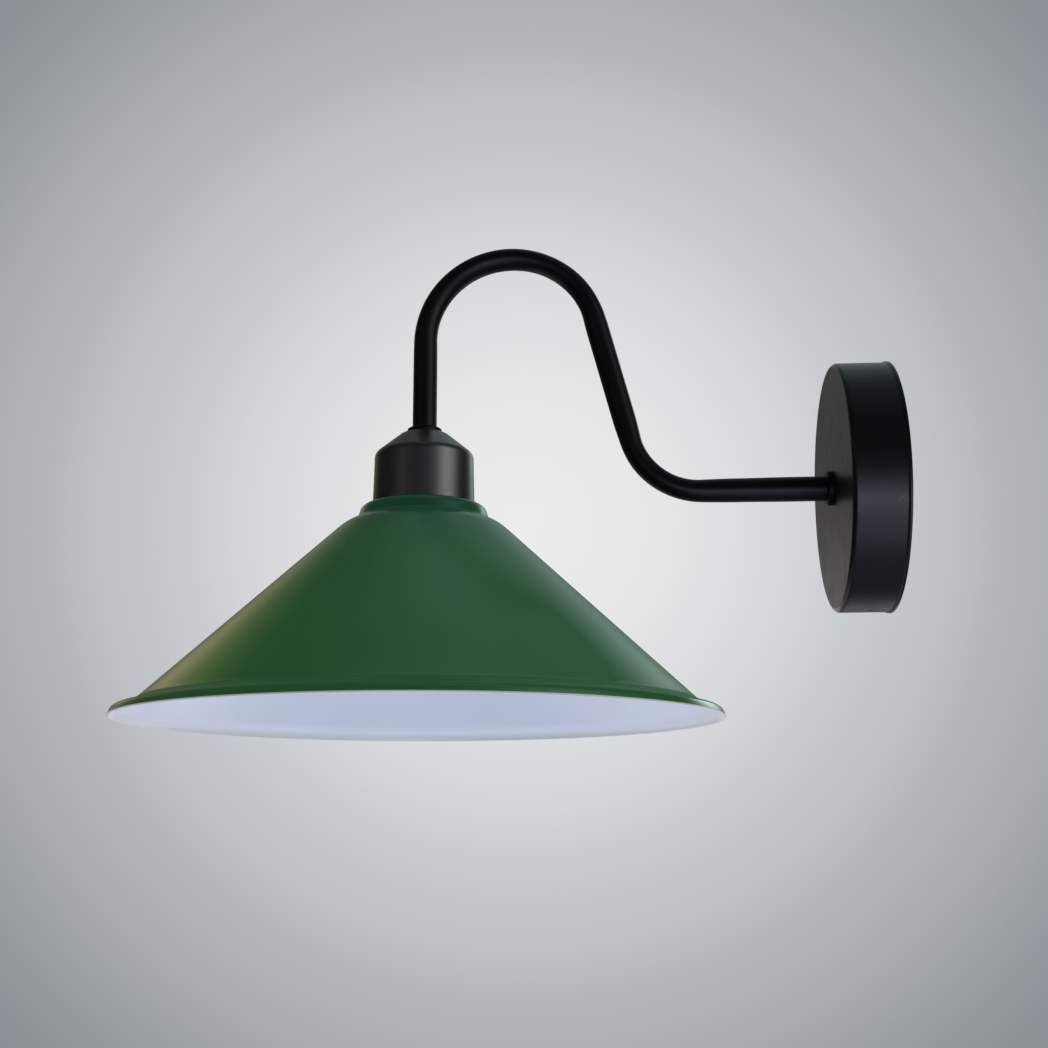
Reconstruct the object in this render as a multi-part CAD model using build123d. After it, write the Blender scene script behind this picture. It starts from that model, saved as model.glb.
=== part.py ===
from build123d import *
import math
import os

# Gooseneck wall sconce. Millimetres. Origin: centre of the canopy on the wall plane.
# +X points into the wall, +Z up; the arm leaves the wall along -X.

# ---------------------------------------------------------------- driving dimensions
CANOPY_R = 60.0          # canopy outer radius
CANOPY_D = 25.9          # canopy depth, wall to front face
CANOPY_T = 1.2           # canopy sheet
CANOPY_EDGE = 2.3        # rounding of the front edge
CANOPY_LIP = 0.5         # small outward lip at the wall
SIDE_X = -11.0           # canopy side screws, distance from the wall

LEG_X = -224.45          # vertical axis of leg, cup and shade
TUBE_R = 6.0             # arm tube outer radius
TUBE_RI = 4.5            # arm tube inner radius
ARCH_R = 43.2            # upper bend, centreline
ARCH_Z = 79.7            # height of the upper bend's centre
SLANT = 14.7             # lean of the slanted run, degrees from the vertical
LOW_R = 35.2             # lower bend, centreline

THREAD_R = 4.95          # M10 x 1 nipple
THREAD_HOLE = 5.0
NIPPLE_BORE = 3.6
COLLAR_T = 3.0           # visible collars at both tube ends
WALL_COLLAR_R = 8.3
LAMP_COLLAR_R = 8.6

CUP_R_BOT = 24.95
CUP_R_TOP = 24.35
CUP_TOP = 31.2
CUP_T = 1.2
SEAT_Z = -5.7            # cup stands on the shade's neck here

SHADE_T = 1.2            # enamelled steel
SHADE_HOLE = 20.2
RIM_R = 143.5
RIM_Z = -109.5

SKIRT_R = 19.5           # lampholder outer thread
SKIRT_RI = 15.6
SKIRT_BOT = -33.0
SHELL_R = 13.35          # E27 screw shell, inside
SHELL_T = 0.5
SHELL_BOT = -30.0
CONTACT_TRAVEL = 1.8

WIRE_R = 1.2
CORE_R = 0.5
WIRE_Y = 1.35            # the two wires lie side by side in the tube

PLATE_R = 53.5
PLATE_T = 1.5
SLOT_Y = 35.0            # wall slots, centre from the axis
SLOT_LEN = 16.0
SLOT_W = 5.0
CABLE_R = 14.0

os.makedirs("parts", exist_ok=True)
AX = Axis((LEG_X, 0, 0), (0, 0, 1))      # lamp axis
report = []


def save(name, shape):
    shape.label = name
    export_step(shape, f"parts/{name}.step")
    report.append((name, round(shape.volume, 1)))
    return shape


# ---------------------------------------------------------------- outline helpers
def _unit(a, b):
    d = math.hypot(b[0] - a[0], b[1] - a[1])
    return ((b[0] - a[0]) / d, (b[1] - a[1]) / d)


def outline(pts, closed=True):
    """Edges in the XZ plane through (x, z) or (x, z, fillet radius) points."""
    n = len(pts)
    ins, outs, mids = [], [], []
    for i, p in enumerate(pts):
        r = p[2] if len(p) > 2 else 0
        if r <= 0 or (not closed and i in (0, n - 1)):
            ins.append(p[:2]); outs.append(p[:2]); mids.append(None)
            continue
        a, b = pts[i - 1], pts[(i + 1) % n]
        u, v = _unit(p, a), _unit(p, b)
        cosw = max(-1, min(1, u[0] * v[0] + u[1] * v[1]))
        half = math.acos(cosw) / 2
        t = r / math.tan(half)
        bis = (u[0] + v[0], u[1] + v[1])
        bl = math.hypot(*bis)
        bis = (bis[0] / bl, bis[1] / bl)
        c = r / math.sin(half)
        ins.append((p[0] + u[0] * t, p[1] + u[1] * t))
        outs.append((p[0] + v[0] * t, p[1] + v[1] * t))
        mids.append((p[0] + bis[0] * (c - r), p[1] + bis[1] * (c - r)))
    q = lambda p: (p[0], 0, p[1])
    edges = []
    for i in range(n):
        if mids[i] is not None:
            edges.append(ThreePointArc(q(ins[i]), q(mids[i]), q(outs[i])).edge())
        j = (i + 1) % n
        if j == 0 and not closed:
            break
        if math.hypot(outs[i][0] - ins[j][0], outs[i][1] - ins[j][1]) > 1e-6:
            edges.append(Line(q(outs[i]), q(ins[j])).edge())
    return edges


def lathe_z(pts):
    """Closed (r, z[, fillet]) outline turned about the lamp axis."""
    moved = [(LEG_X + p[0],) + tuple(p[1:]) for p in pts]
    return revolve(Face(Wire(outline(moved))), AX, 360)


def lathe_x(pts):
    """Closed (x, r[, fillet]) outline turned about the arm axis."""
    return revolve(Face(Wire(outline(pts))), Axis.X, 360)


def parallel(pts, t):
    """Open outline offset to its right-hand side by t, with matching fillets."""
    out = []
    n = len(pts)
    for i, p in enumerate(pts):
        if i == 0 or i == n - 1:
            d = _unit(pts[0], pts[1]) if i == 0 else _unit(pts[-2], pts[-1])
            out.append((p[0] + d[1] * t, p[1] - d[0] * t))
            continue
        d1, d2 = _unit(pts[i - 1], p), _unit(p, pts[i + 1])
        n1, n2 = (d1[1], -d1[0]), (d2[1], -d2[0])
        k = 1 + n1[0] * n2[0] + n1[1] * n2[1]
        x = p[0] + t * (n1[0] + n2[0]) / k
        z = p[1] + t * (n1[1] + n2[1]) / k
        turn = d1[0] * d2[1] - d1[1] * d2[0]
        r = p[2] if len(p) > 2 else 0
        if r:
            r = r - t if turn < 0 else r + t
        out.append((x, z, max(r, 0.05)) if r else (x, z))
    return out


def rod_z(r, z0, z1, x=LEG_X, y=0.0):
    return Pos(x, y, (z0 + z1) / 2) * Cylinder(r, abs(z1 - z0))


def rod_x(r, x0, x1, y=0.0, z=0.0):
    return Pos((x0 + x1) / 2, y, z) * Rot(0, 90, 0) * Cylinder(r, abs(x1 - x0))


def rod_y(r, y0, y1, x=0.0, z=0.0):
    return Pos(x, (y0 + y1) / 2, z) * Rot(90, 0, 0) * Cylinder(r, abs(y1 - y0))


def box(x0, x1, y0, y1, z0, z1):
    return Pos((x0 + x1) / 2, (y0 + y1) / 2, (z0 + z1) / 2) * Box(abs(x1 - x0), abs(y1 - y0), abs(z1 - z0))


# ---------------------------------------------------------------- arm centreline
phi = math.radians(SLANT)
C1 = (LEG_X + ARCH_R, ARCH_Z)
nx, nz = math.cos(phi), math.sin(phi)
A = (C1[0] + ARCH_R * nx, C1[1] + ARCH_R * nz)          # arch ends, slanted run starts
dx, dz = math.sin(phi), -math.cos(phi)
s_len = (LOW_R - A[1] - LOW_R * nz) / dz
B = (A[0] + s_len * dx, A[1] + s_len * dz)              # slanted run ends
C2 = (B[0] + LOW_R * nx, B[1] + LOW_R * nz)             # centre of the lower bend, z = LOW_R
TUBE_Z = CUP_TOP + COLLAR_T                             # tube's lamp end
TUBE_X = -CANOPY_D - COLLAR_T                           # tube's wall end


def arm_edges(y, z_start, x_end):
    """Leg up, over the arch, down the slanted run, round the lower bend, to the wall."""
    q = lambda x, z: (x, y, z)
    m1 = math.radians((180 + SLANT) / 2)
    a1 = (C1[0] + ARCH_R * math.cos(m1), C1[1] + ARCH_R * math.sin(m1))
    m2 = math.radians((180 + SLANT + 270) / 2)
    a2 = (C2[0] + LOW_R * math.cos(m2), C2[1] + LOW_R * math.sin(m2))
    return [
        Line(q(LEG_X, z_start), q(LEG_X, ARCH_Z)).edge(),
        ThreePointArc(q(LEG_X, ARCH_Z), q(*a1), q(*A)).edge(),
        Line(q(*A), q(*B)).edge(),
        ThreePointArc(q(*B), q(*a2), q(C2[0], 0)).edge(),
        Line(q(C2[0], 0), q(x_end, 0)).edge(),
    ]


arm_len = (ARCH_Z - TUBE_Z) + math.radians(180 - SLANT) * ARCH_R + s_len + math.radians(90 - SLANT) * LOW_R + (TUBE_X - C2[0])
arm_path = Wire(arm_edges(0, TUBE_Z, TUBE_X))


def tube_along(path, r, x0, z0):
    return sweep(Plane(origin=(x0, 0, z0), z_dir=(0, 0, 1)) * Circle(r), path=path)


outer = tube_along(arm_path, TUBE_R, LEG_X, TUBE_Z)
inner = tube_along(arm_path, TUBE_RI, LEG_X, TUBE_Z)
tube = outer - inner
tube -= rod_z(THREAD_HOLE, TUBE_Z - 1, TUBE_Z + 11)
tube -= rod_x(THREAD_HOLE, TUBE_X - 11, TUBE_X + 1)
save("gooseneck_tube", tube)
print("arm length", round(arm_len, 2), "path", round(arm_path.length, 2),
      "tube volume", round(outer.volume, 1), "section x length", round(math.pi * TUBE_R ** 2 * arm_len, 1))

# ---------------------------------------------------------------- wall side
canopy_out = [
    (0, CANOPY_R + CANOPY_LIP), (-1.0, CANOPY_R + CANOPY_LIP, 0.3), (-1.8, CANOPY_R, 0.5),
    (-CANOPY_D, CANOPY_R, CANOPY_EDGE), (-CANOPY_D, THREAD_HOLE + 0.1),
    (-CANOPY_D + CANOPY_T, THREAD_HOLE + 0.1),
    (-CANOPY_D + CANOPY_T, CANOPY_R - CANOPY_T, CANOPY_EDGE - CANOPY_T + 0.1),
    (0, CANOPY_R - CANOPY_T),
]
canopy = lathe_x(canopy_out)
for s in (1, -1):
    # pressed countersink for a side screw, with its dimple inside
    z = lambda v: s * v
    dimple = Pos(SIDE_X, 0, s * 58.2) * Rot(0 if s > 0 else 180, 0, 0) * Cone(3.9, 5.4, 2.0)
    canopy += dimple & rod_x(CANOPY_R - 0.6, -CANOPY_D + 1, 0)
for s in (1, -1):
    canopy -= Pos(SIDE_X, 0, s * 59.1) * Rot(0 if s > 0 else 180, 0, 0) * Cone(2.05, 3.85, 1.8)
    canopy -= rod_z(2.05, s * 55, s * 62, x=SIDE_X)
    canopy -= rod_z(3.85, s * 59.99, s * 62, x=SIDE_X)
save("canopy", canopy)

screws = []
for s in (1, -1):
    turn = Rot(0 if s > 0 else 180, 0, 0)
    head = Pos(SIDE_X, 0, s * 59.0) * turn * Cone(1.95, 3.75, 1.8)
    shank = rod_z(1.95, s * 49.0, s * 58.15, x=SIDE_X)
    sc = head + shank
    for a in (0, 90):
        sc -= Pos(SIDE_X, 0, s * 59.5) * Rot(0, 0, a) * Box(4.2, 0.8, 1.2)
    screws.append(sc)
save("canopy_side_screws", Compound(children=screws))

plate = rod_x(PLATE_R, -PLATE_T, 0)
for s in (1, -1):
    plate += box(-PLATE_T, 0, -8, 8, s * 45, s * 57)
    plate += box(-15, 0, -8, 8, s * 55.5, s * 57)
plate -= rod_x(CABLE_R, -3, 1)
for s in (1, -1):
    plate -= rod_z(2.0, s * 50, s * 60, x=SIDE_X)
    plate -= box(-3, 1, s * SLOT_Y - (SLOT_LEN - SLOT_W) / 2, s * SLOT_Y + (SLOT_LEN - SLOT_W) / 2, -SLOT_W / 2, SLOT_W / 2)
    for t in (1, -1):
        plate -= rod_x(SLOT_W / 2, -3, 1, y=s * SLOT_Y + t * (SLOT_LEN - SLOT_W) / 2)

# terminal block on the plate, below the cable hole
TB_X0, TB_X1 = -14.5, -PLATE_T
TB_Z0, TB_Z1 = -41.0, -24.0
TB_PX = -8.25
POLES = (-10.0, 0.0, 10.0)
block = box(TB_X0, TB_X1, -15.5, 15.5, TB_Z0, TB_Z1)
block = fillet(block.edges().filter_by(Axis.X), 1.5)
inserts, clamps, fixings = [], [], []
for y in POLES:
    block -= rod_z(2.6, TB_Z0 - 1, TB_Z1 + 1, x=TB_PX, y=y)
    ins = rod_z(2.55, TB_Z0 + 2, TB_Z1 - 2, x=TB_PX, y=y) - rod_z(1.6, TB_Z0, TB_Z1, x=TB_PX, y=y)
    for z in (-29.0, -36.0):
        block -= rod_x(1.8, TB_X0 - 1, TB_PX, y=y, z=z)
        ins -= rod_x(1.3, TB_PX - 4, TB_PX, y=y, z=z)
        tip = TB_PX - CORE_R - 0.02
        screw = rod_x(1.25, -13.0, tip, y=y, z=z) + rod_x(1.7, -13.2, -11.4, y=y, z=z)
        screw -= box(-13.4, -12.6, y - 2, y + 2, z - 0.25, z + 0.25)
        clamps.append(screw)
    inserts.append(ins)
for y in (-5.0, 5.0):
    block -= rod_x(1.6, TB_X0 - 1, 0, y=y, z=-32.5)
    block -= rod_x(2.3, TB_X0 - 1, TB_X0 + 3, y=y, z=-32.5)
    plate -= rod_x(1.5, -3, 1, y=y, z=-32.5)
    screw = rod_x(1.45, TB_X0 + 2.9, -0.2, y=y, z=-32.5) + rod_x(2.2, TB_X0 + 1.0, TB_X0 + 3.0, y=y, z=-32.5)
    screw -= box(TB_X0 + 0.8, TB_X0 + 1.8, y - 3, y + 3, -32.8, -32.2)
    fixings.append(screw)
save("terminal_block", block)
save("terminal_inserts", Compound(children=inserts))
save("terminal_clamp_screws", Compound(children=clamps))
save("terminal_block_screws", Compound(children=fixings))

# earth screw and ring terminal on the plate
EY, EZ = 30.0, -13.0
plate -= rod_x(2.0, -3, 1, y=EY, z=EZ)
lug = rod_x(4.2, -PLATE_T - 0.8, -PLATE_T, y=EY, z=EZ) + box(-PLATE_T - 0.8, -PLATE_T, EY - 8, EY, EZ - 2.0, EZ + 2.0)
lug += rod_y(1.9, EY - 11.5, EY - 6.5, x=-3.5, z=EZ)
lug -= rod_y(1.25, EY - 13, EY - 7.0, x=-3.5, z=EZ)
lug -= rod_x(2.05, -5, 0, y=EY, z=EZ)
save("earth_ring_terminal", lug)
earth_screw = rod_x(1.95, -PLATE_T - 1, 0.0 - 0.1, y=EY, z=EZ) + rod_x(3.6, -5.0, -PLATE_T - 0.8, y=EY, z=EZ)
earth_screw = fillet(earth_screw.edges().filter_by(GeomType.CIRCLE).group_by(Axis.X)[0], 0.8)
for a in (0, 90):
    earth_screw -= Pos(-4.6, EY, EZ) * Rot(a, 0, 0) * Box(1.4, 0.9, 4.4)
save("earth_screw", earth_screw)
save("mounting_plate", plate)

# threaded joint between canopy and tube
wall_collar = lathe_x([(TUBE_X, THREAD_HOLE), (TUBE_X, WALL_COLLAR_R, 0.9), (-CANOPY_D, WALL_COLLAR_R, 0.3), (-CANOPY_D, THREAD_HOLE)])
save("wall_end_collar", wall_collar)
save("wall_end_nipple", lathe_x([(TUBE_X - 10, NIPPLE_BORE), (TUBE_X - 10, THREAD_R - 0.5), (TUBE_X - 9.5, THREAD_R),
                                 (-17.5, THREAD_R), (-17.0, THREAD_R - 0.5), (-17.0, NIPPLE_BORE, 0.3)]))


def toothed_washer(plane, r_out, t):
    w = extrude(plane * (Circle(r_out) - Circle(THREAD_HOLE + 0.05)), t)
    for k in range(12):
        w -= plane * Rot(0, 0, 30 * k) * Pos(r_out, 0, t / 2) * Rot(0, 0, 18) * Box(2.4, 1.0, t * 3)
    return w


def hex_nut(plane, af, t):
    n = extrude(plane * (RegularPolygon(af / 2, 6, major_radius=False) - Circle(THREAD_HOLE)), t)
    hull = extrude(plane * Circle(af / 2 + 0.75), t)
    return n & chamfer(hull.edges().filter_by(GeomType.CIRCLE), 0.6)


px = Plane(origin=(-CANOPY_D + CANOPY_T, 0, 0), z_dir=(1, 0, 0))
save("wall_end_lock_washer", toothed_washer(px, 8.4, 0.9))
save("wall_end_nut", hex_nut(Plane(origin=(-CANOPY_D + CANOPY_T + 0.9, 0, 0), z_dir=(1, 0, 0)), 14.0, 4.0))

# ---------------------------------------------------------------- lamp side
save("lamp_end_collar", lathe_z([(THREAD_HOLE, CUP_TOP), (LAMP_COLLAR_R, CUP_TOP, 1.0), (LAMP_COLLAR_R, TUBE_Z, 1.0), (THREAD_HOLE, TUBE_Z)]))
NIP_Z0 = 14.5
save("lamp_end_nipple", lathe_z([(NIPPLE_BORE, NIP_Z0, 0.3), (THREAD_R - 0.5, NIP_Z0), (THREAD_R, NIP_Z0 + 0.5),
                                 (THREAD_R, TUBE_Z + 9.5), (THREAD_R - 0.5, TUBE_Z + 10), (NIPPLE_BORE, TUBE_Z + 10)]))

cup_out = [(CUP_R_BOT, SEAT_Z), (CUP_R_TOP, 20.5, 4.0), (11.5, CUP_TOP, 3.0), (THREAD_HOLE + 0.1, CUP_TOP)]
cup_in = parallel(cup_out, -CUP_T)
cup_in[0] = (CUP_R_BOT - CUP_T, SEAT_Z)
cup = lathe_z(cup_out + list(reversed(cup_in)))
save("lampholder_cup", cup)
CUP_IN = CUP_TOP - CUP_T
pz = Plane(origin=(LEG_X, 0, CUP_IN), x_dir=(1, 0, 0), z_dir=(0, 0, -1))
save("lamp_end_lock_washer", toothed_washer(pz, 8.4, 0.9))
save("lamp_end_nut", hex_nut(Plane(origin=(LEG_X, 0, CUP_IN - 0.9), x_dir=(1, 0, 0), z_dir=(0, 0, -1)), 14.0, 4.0))

cap = lathe_z([(THREAD_HOLE, 24.6), (8.5, 24.6, 0.5), (8.5, 19.6, 1.0), (15.5, 18.0, 3.0), (21.5, 12.0, 3.0), (21.5, -3.0, 0.6),
               (SKIRT_R + 0.05, -3.0), (SKIRT_R + 0.05, 11.2), (14.7, 16.0), (THREAD_HOLE, 16.2)])
cap -= rod_y(1.5, 4.0, 10.0, x=LEG_X, z=22.0)
save("lampholder_cap", cap)
lock = rod_y(1.45, THREAD_R + 0.03, 8.4, x=LEG_X, z=22.0) - Pos(LEG_X, 8.4, 22.0) * Box(2.2, 1.2, 0.5)
save("cap_locking_screw", lock)

INS_Z0, INS_Z1 = -5.5, 5.0
body = lathe_z([(SKIRT_R, 5.5), (SKIRT_R, SKIRT_BOT, 1.2), (SKIRT_RI, SKIRT_BOT, 1.2), (SKIRT_RI, INS_Z0), (17.2, INS_Z0), (17.2, 5.5)])
save("lampholder_body", body)

insulator = rod_z(17.1, INS_Z0, INS_Z1)
insulator -= rod_z(1.65, INS_Z0 - 1, INS_Z1 + 1)
insulator -= rod_z(3.2, INS_Z0 - 1, -3.5)
for s in (1, -1):
    insulator -= rod_z(1.25, INS_Z0 - 1, INS_Z1 + 1, x=LEG_X + s * 11.2)
save("lampholder_insulator", insulator)

# a plain neck at the bottom of the shell, a little narrower than the threaded length below it
NECK_R = 13.05
shell = lathe_z([(9.2, INS_Z0), (NECK_R + SHELL_T, INS_Z0, 0.5), (NECK_R + SHELL_T, -9.9), (SHELL_R + SHELL_T, -10.2),
                 (SHELL_R + SHELL_T, SHELL_BOT), (SHELL_R, SHELL_BOT), (SHELL_R, -10.35), (NECK_R, -10.05),
                 (NECK_R, INS_Z0 - 0.45), (9.2, INS_Z0 - 0.45)])
for s in (1, -1):
    shell -= rod_z(1.25, -8, -4, x=LEG_X + s * 11.2)
save("screw_shell", shell)
rivets = []
for s in (1, -1):
    top = INS_Z1 + (0.5 if s > 0 else 0.0)
    rv = rod_z(1.2, INS_Z0 - 0.5, top + 0.5, x=LEG_X + s * 11.2)
    rv += rod_z(1.75, INS_Z0 - 0.45 - 0.8, INS_Z0 - 0.45, x=LEG_X + s * 11.2)
    rv += rod_z(1.9, top, top + 0.7, x=LEG_X + s * 11.2)
    rivets.append(rv)
save("shell_rivets", Compound(children=rivets))

# sprung centre contact: a plunger in the insulator, held down by its spring
contact = lathe_z([(0.0, -9.9), (3.4, -9.6, 1.0), (3.4, -8.3), (1.6, -8.3), (1.6, INS_Z1 + 0.5), (2.4, INS_Z1 + 0.5), (2.4, INS_Z1 + 1.1), (0.0, INS_Z1 + 1.1)])
save("centre_contact", contact)
save("contact_spring", rod_z(2.9, -8.25, -3.55) - rod_z(2.15, -9, -3))

TERM_Z = 8.5
live = box(LEG_X - 3, LEG_X + 3, -11.5, -6.5, INS_Z1, 11.5) + box(LEG_X - 2.4, LEG_X + 2.4, -7.5, 2.6, INS_Z1, INS_Z1 + 0.5)
live -= rod_z(1.65, 0, 10)
neutral = box(LEG_X - 3, LEG_X + 3, 6.5, 11.5, INS_Z1, 11.5) + box(LEG_X, LEG_X + 13.2, 7.0, 10.0, INS_Z1, INS_Z1 + 0.5)
neutral += box(LEG_X + 9.2, LEG_X + 13.2, -2.2, 10.0, INS_Z1, INS_Z1 + 0.5)
neutral -= rod_z(1.25, 0, 10, x=LEG_X + 11.2)
tscrews = []
for s, part in ((-1, live), (1, neutral)):
    part -= rod_y(1.0, s * 6.0, s * 12.0, x=LEG_X, z=TERM_Z)
    part -= rod_z(1.55, TERM_Z, 12.5, y=s * 9.0)
    sc = rod_z(1.5, TERM_Z + CORE_R + 0.02, 11.6, y=s * 9.0) + rod_z(2.6, 11.5, 13.1, y=s * 9.0)
    sc -= Pos(LEG_X, s * 9.0, 12.9) * Box(6, 0.7, 1.0)
    tscrews.append(sc)
    save("live_terminal" if s < 0 else "neutral_terminal", part)
save("holder_terminal_screws", Compound(children=tscrews))

# ---------------------------------------------------------------- shade and its ring
shade_out = [
    (SHADE_HOLE, SEAT_Z), (31.0, SEAT_Z, 3.4), (31.9, -12.7, 1.0), (38.5, -15.2, 26.0),
    (133.6, -104.26, 4.0), (142.2, -106.2, 2.0), (RIM_R, RIM_Z),
]
shade_in = parallel(shade_out, SHADE_T)
edges = outline([(LEG_X + p[0],) + tuple(p[1:]) for p in shade_out], closed=False)
edges_in = outline([(LEG_X + p[0],) + tuple(p[1:]) for p in reversed(shade_in)], closed=False)
o_end, i_end = shade_out[-1], shade_in[-1]
d = _unit(shade_out[-2], shade_out[-1])
tip = ((o_end[0] + i_end[0]) / 2 + d[0] * SHADE_T / 2, (o_end[1] + i_end[1]) / 2 + d[1] * SHADE_T / 2)
q3 = lambda p: (LEG_X + p[0], 0, p[1])
rim = ThreePointArc(q3(o_end), q3(tip), q3(i_end)).edge()
hole = Line(q3(shade_in[0]), q3(shade_out[0])).edge()
shade = revolve(Face(Wire(edges + [rim] + edges_in + [hole])), AX, 360)
save("shade", shade)

RING_TOP = SEAT_Z - SHADE_T
ring = lathe_z([(SKIRT_R + 0.05, RING_TOP), (26.6, RING_TOP, 0.6), (26.6, RING_TOP - 2.6, 0.6), (23.6, RING_TOP - 3.4, 1.0),
                (23.2, RING_TOP - 11.0, 0.8), (SKIRT_R + 0.05, RING_TOP - 11.0)])
for k in range(20):
    a = math.radians(18 * k)
    ring -= rod_z(1.1, RING_TOP - 12, RING_TOP - 3.6, x=LEG_X + 24.1 * math.cos(a), y=24.1 * math.sin(a))
save("shade_ring", ring)

# ---------------------------------------------------------------- wires held inside the arm
def wire(start_pts, start_r, y, end_pts, end_r):
    """Insulated wire: bends at the lamp end, the arm's own bends, bends at the wall end."""
    first = FilletPolyline(*start_pts, radius=start_r).edges()
    last = FilletPolyline(*end_pts, radius=end_r).edges()
    path = Wire(list(first) + arm_edges(y, start_pts[-1][2], end_pts[0][0]) + list(last))
    return path


def wire_solid(path, start, direction, core_start, core_end):
    pl = Plane(origin=start, z_dir=direction)
    w = sweep(pl * Circle(WIRE_R), path=path)
    for a, b in (core_start, core_end):
        c = Vector(*b) - Vector(*a)
        w += extrude(Plane(origin=a, z_dir=(c.X, c.Y, c.Z)) * Circle(CORE_R), c.length)
    return w


wires = []
for s, name, pole in ((-1, "live_wire", POLES[0]), (1, "neutral_wire", POLES[1])):
    y = s * WIRE_Y
    start = [(LEG_X, s * 6.45, TERM_Z), (LEG_X, y, TERM_Z), (LEG_X, y, 18.0)]
    end = [(-24.0, y, 0), (TB_PX, y, 0), (TB_PX, y, -8.6), (TB_PX, pole, -18.6), (TB_PX, pole, TB_Z1 - 2.0)]
    path = wire(start, 4.0, y, end, [5.8, 5.5, 5.5])
    w = wire_solid(path, start[0], (0, -s, 0),
                   ((LEG_X, s * 6.3, TERM_Z), (LEG_X, s * 10.9, TERM_Z)),
                   ((TB_PX, pole, TB_Z1 - 1.9), (TB_PX, pole, TB_Z1 - 8.0)))
    save(name, w)
    print(name, "length", round(path.length, 1), "volume", round(w.volume, 1), "section x length", round(math.pi * WIRE_R ** 2 * path.length, 1))

e_pts = [(TB_PX, POLES[2], TB_Z1 - 2.0), (TB_PX, POLES[2], EZ), (-3.5, 16.5, EZ), (-3.5, EY - 8.0, EZ)]
e_path = FilletPolyline(*e_pts, radius=[4.0, 3.0])
earth = sweep(Plane(origin=e_pts[0], z_dir=(0, 0, 1)) * Circle(WIRE_R), path=Wire(e_path.edges()))
earth += rod_z(CORE_R, TB_Z1 - 8.0, TB_Z1 - 1.9, x=TB_PX, y=POLES[2])
save("earth_wire", earth)

for name, v in report:
    print(f"{name:26s} {v}")
print(len(report), "nodes")
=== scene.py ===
import math

import bpy
import numpy as np
from mathutils import Matrix, Vector


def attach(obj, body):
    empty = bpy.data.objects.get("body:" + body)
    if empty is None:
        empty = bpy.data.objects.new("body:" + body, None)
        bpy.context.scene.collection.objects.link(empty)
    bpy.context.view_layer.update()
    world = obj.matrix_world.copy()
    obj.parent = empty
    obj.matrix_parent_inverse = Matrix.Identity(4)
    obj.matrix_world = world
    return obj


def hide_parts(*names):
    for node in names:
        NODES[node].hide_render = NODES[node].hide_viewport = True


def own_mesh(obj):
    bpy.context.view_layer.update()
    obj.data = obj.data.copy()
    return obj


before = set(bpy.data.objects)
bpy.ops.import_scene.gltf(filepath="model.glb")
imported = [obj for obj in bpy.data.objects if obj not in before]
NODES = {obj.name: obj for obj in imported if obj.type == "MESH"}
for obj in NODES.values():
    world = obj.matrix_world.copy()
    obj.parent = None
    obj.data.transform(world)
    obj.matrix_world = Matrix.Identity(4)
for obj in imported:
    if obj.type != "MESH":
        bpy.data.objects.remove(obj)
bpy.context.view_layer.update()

# Gooseneck wall sconce. The row frame is in metres; the tables below are in millimetres.
MM = 0.001
LEG_X = -224.45
scene = bpy.context.scene


# ------------------------------------------------------------------ node helpers
def srgb(r, g, b):
    """8-bit display colour as a linear colour."""
    out = []
    for v in (r, g, b):
        v /= 255.0
        out.append(v / 12.92 if v <= 0.04045 else ((v + 0.055) / 1.055) ** 2.4)
    return (out[0], out[1], out[2], 1.0)


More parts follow.
